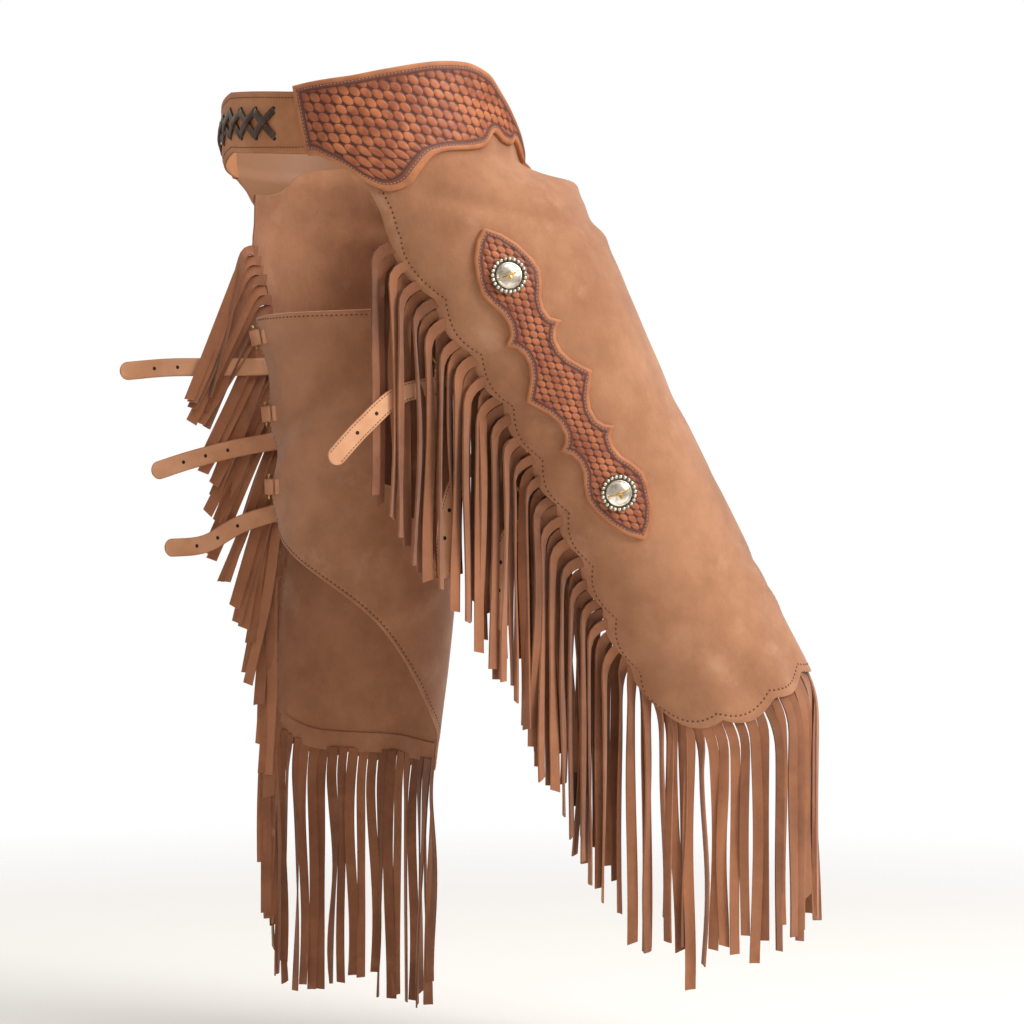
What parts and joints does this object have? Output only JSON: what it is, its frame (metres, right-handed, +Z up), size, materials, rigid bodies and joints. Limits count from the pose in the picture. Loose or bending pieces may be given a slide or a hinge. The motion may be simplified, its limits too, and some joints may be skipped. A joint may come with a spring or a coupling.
{
  "type": "leather chaps",
  "caption": "Short fringed leather chaps in worn form: tooled hip yokes and outer strips, round silver conchos, scalloped edges with long fringe, strap and buckle legs.",
  "frame": {"origin": "middle of the waist ring at belt height, where the wearer's hips hold the chaps up", "axes": "+Z up along the waist's axis; the wearer faces -Y and the wearer's right is -X"},
  "size_m": [0.476, 0.6517, 0.9745],
  "materials": {
    "suede": "rough-out suede, soft nap",
    "tooled_leather": "basket-weave stamped, antiqued, low sheen",
    "strap_leather": "smooth tan, matt",
    "lace": "dark brown flat lace, slight sheen",
    "silver": "antiqued silver plate",
    "brass": "solid brass, lightly worn"
  },
  "bodies": {
    "root": {"back_belt": "strap_leather", "back_lace": "lace", "front_lace": "lace", "leg_panel_right": "suede", "yoke_right": "tooled_leather", "overlay_right": "tooled_leather", "hem_fringe_right": "suede", "side_fringe_right": "suede", "concho_right_upper": "silver", "concho_right_lower": "silver", "billet_right_1": "strap_leather", "chape_right_1": "strap_leather", "buckle_right_1": "brass", "tongue_right_1": "brass", "billet_right_2": "strap_leather", "chape_right_2": "strap_leather", "buckle_right_2": "brass", "tongue_right_2": "brass", "billet_right_3": "strap_leather", "chape_right_3": "strap_leather", "buckle_right_3": "brass", "tongue_right_3": "brass", "leg_panel_left": "suede", "yoke_left": "tooled_leather", "overlay_left": "tooled_leather", "hem_fringe_left": "suede", "side_fringe_left": "suede", "concho_left_upper": "silver", "concho_left_lower": "silver", "billet_left_1": "strap_leather", "chape_left_1": "strap_leather", "buckle_left_1": "brass", "tongue_left_1": "brass", "billet_left_2": "strap_leather", "chape_left_2": "strap_leather", "buckle_left_2": "brass", "tongue_left_2": "brass", "billet_left_3": "strap_leather", "chape_left_3": "strap_leather", "buckle_left_3": "brass", "tongue_left_3": "brass"}
  },
  "joints": []
}
